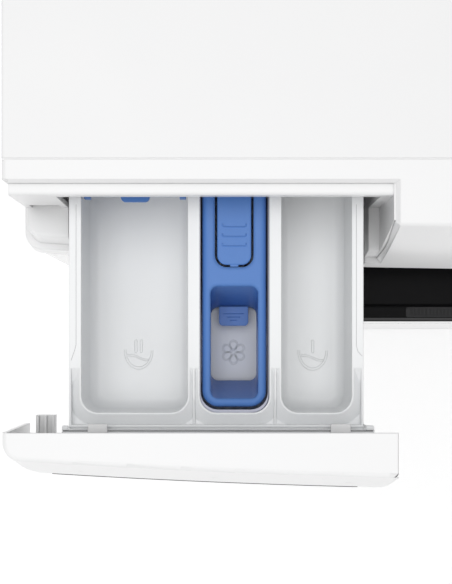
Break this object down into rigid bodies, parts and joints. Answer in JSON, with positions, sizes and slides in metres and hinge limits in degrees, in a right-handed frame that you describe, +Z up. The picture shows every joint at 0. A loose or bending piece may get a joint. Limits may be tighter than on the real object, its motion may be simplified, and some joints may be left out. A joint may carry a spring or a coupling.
{
  "type": "front load washing machine",
  "caption": "Front load washing machine with bow-front control panel and its top-left detergent drawer pulled out",
  "frame": {"origin": "middle of the footprint of the machine with its drawer open, on the floor", "axes": "+Z up, +Y towards the back, so the front looks along -Y and +X is to the right seen from the front"},
  "size_m": [0.598, 0.6675, 0.85],
  "materials": {
    "white_laminate": "white laminate, fine satin grain",
    "white_plastic": "white moulded plastic, satin",
    "white_enamel": "white stoved enamel",
    "tray_plastic": "off-white moulded plastic, satin",
    "blue_plastic": "blue moulded plastic, satin",
    "black_plastic": "black moulded plastic, glossy",
    "tinted_glass": "near-black tinted pane",
    "clear_glass": "clear moulded glass",
    "grey_plastic": "grey moulded plastic",
    "zinc_steel": "zinc coated steel",
    "display_pane": "dark clear window",
    "circuit_board": "green circuit board",
    "grey_rubber": "grey moulded rubber",
    "black_rubber": "black rubber",
    "white_fitting": "white nylon",
    "cast_block": "rough cast block",
    "stainless": "stainless steel",
    "aluminium_cast": "cast aluminium"
  },
  "bodies": {
    "cabinet": {"base_tray": "grey_plastic", "left_side_panel": "white_enamel", "right_side_panel": "white_enamel", "rear_panel": "zinc_steel", "rear_access_cover": "zinc_steel", "front_panel": "white_enamel", "kick_plate": "white_plastic", "worktop": "white_laminate", "cross_braces": "zinc_steel", "cabinet_screws": "zinc_steel", "control_panel": "white_plastic", "display_window": "display_pane", "control_board": "circuit_board", "dispenser_housing": "tray_plastic", "inlet_valve": "white_fitting", "valve_hose": "black_rubber", "fill_hose": "black_rubber", "sump_hose": "black_rubber", "drain_pump": "grey_plastic", "drain_pipe": "grey_plastic", "mains_gland": "black_plastic", "door_lock": "black_plastic", "hinge_bracket": "zinc_steel", "door_gasket": "grey_rubber", "damper_cylinders": "grey_plastic"},
    "drawer": {"drawer_fascia": "white_plastic", "drawer_tray": "tray_plastic", "softener_insert": "blue_plastic"},
    "release_tab": {"release_tab": "blue_plastic"},
    "liquid_flap": {"liquid_flap": "blue_plastic"},
    "door": {"door_frame": "black_plastic", "door_cover": "tinted_glass", "door_glass": "clear_glass", "door_inner_ring": "grey_plastic", "hinge_pin": "zinc_steel"},
    "latch_hook": {"latch_hook": "zinc_steel"},
    "programme_knob": {"programme_knob": "white_plastic"},
    "power_button": {"power_button": "white_plastic"},
    "start_button": {"start_button": "white_plastic"},
    "tub": {"tub_front": "grey_plastic", "tub_rear": "grey_plastic", "tub_screws": "zinc_steel", "counterweights": "cast_block", "heater": "stainless", "motor": "aluminium_cast", "drum_bearings": "stainless", "drive_belt": "black_rubber", "damper_rods": "zinc_steel", "suspension_springs": "zinc_steel"},
    "drum": {"drum_shell": "stainless", "drum_paddles": "grey_plastic", "drum_spider": "aluminium_cast", "drum_pulley": "aluminium_cast"},
    "motor_pulley": {"motor_pulley": "zinc_steel"},
    "service_flap": {"service_flap": "white_plastic"},
    "pump_filter_cap": {"pump_filter_cap": "grey_plastic"},
    "foot_front_left": {"foot_front_left": "grey_plastic"},
    "foot_front_right": {"foot_front_right": "grey_plastic"},
    "foot_rear_left": {"foot_rear_left": "grey_plastic"},
    "foot_rear_right": {"foot_rear_right": "grey_plastic"}
  },
  "joints": [
    {"name": "drawer_slide", "type": "slide", "parent": "cabinet", "child": "drawer", "axis": [0, -1, 0], "range_m": [-0.126, 0.06]},
    {"name": "release_tab_press", "type": "hinge", "parent": "drawer", "child": "release_tab", "pos_m": [-0.182, -0.152, 0.8148], "axis": [1, 0, 0], "range_deg": [0, 3], "stiffness_Nm_per_rad": 0.2},
    {"name": "liquid_flap_fold", "type": "hinge", "parent": "drawer", "child": "liquid_flap", "pos_m": [-0.2342, -0.171, 0.811], "axis": [-1, 0, 0], "range_deg": [0, 85]},
    {"name": "door_hinge", "type": "hinge", "parent": "cabinet", "child": "door", "pos_m": [-0.221, -0.214, 0.475], "axis": [0, 0, -1], "range_deg": [0, 120]},
    {"name": "latch_hook_pivot", "type": "hinge", "parent": "door", "child": "latch_hook", "pos_m": [0.199, -0.213, 0.467], "axis": [1, 0, 0], "range_deg": [0, 10], "stiffness_Nm_per_rad": 0.1},
    {"name": "programme_knob_turn", "type": "hinge", "parent": "cabinet", "child": "programme_knob", "pos_m": [0.06, -0.20097, 0.802], "axis": [0, -0.9882, 0.1532], "continuous": true},
    {"name": "power_button_press", "type": "slide", "parent": "cabinet", "child": "power_button", "axis": [0, 0.9882, -0.1532], "range_m": [0, 0.0015], "stiffness_N_per_m": 800},
    {"name": "start_button_press", "type": "slide", "parent": "cabinet", "child": "start_button", "axis": [0, 0.9882, -0.1532], "range_m": [0, 0.0015], "stiffness_N_per_m": 800},
    {"name": "tub_bounce", "type": "slide", "parent": "cabinet", "child": "tub", "axis": [0, 0, 1], "range_m": [-0.006, 0.006], "stiffness_N_per_m": 20000, "springref_m": 0.0223, "deforming": ["suspension_springs", "fill_hose", "sump_hose"]},
    {"name": "drum_spin", "type": "hinge", "parent": "tub", "child": "drum", "pos_m": [0, 0, 0.475], "axis": [0, 1, 0], "continuous": true},
    {"name": "motor_pulley_spin", "type": "hinge", "parent": "tub", "child": "motor_pulley", "pos_m": [0.07, 0.274, 0.158], "axis": [0, 1, 0], "continuous": true},
    {"name": "service_flap_hinge", "type": "hinge", "parent": "cabinet", "child": "service_flap", "pos_m": [0.205, -0.1969, 0.042], "axis": [1, 0, 0], "range_deg": [0, 95]},
    {"name": "filter_cap_turn", "type": "hinge", "parent": "cabinet", "child": "pump_filter_cap", "pos_m": [0.205, -0.183, 0.086], "axis": [0, 1, 0], "range_deg": [0, 180]},
    {"name": "foot_front_left_adjust", "type": "slide", "parent": "cabinet", "child": "foot_front_left", "axis": [0, 0, -1], "range_m": [0, 0.015]},
    {"name": "foot_front_right_adjust", "type": "slide", "parent": "cabinet", "child": "foot_front_right", "axis": [0, 0, -1], "range_m": [0, 0.015]},
    {"name": "foot_rear_left_adjust", "type": "slide", "parent": "cabinet", "child": "foot_rear_left", "axis": [0, 0, -1], "range_m": [0, 0.015]},
    {"name": "foot_rear_right_adjust", "type": "slide", "parent": "cabinet", "child": "foot_rear_right", "axis": [0, 0, -1], "range_m": [0, 0.015]}
  ],
  "couplings": [
    {"joint": "motor_pulley_spin", "follows": "drum_spin", "ratio": 13}
  ]
}
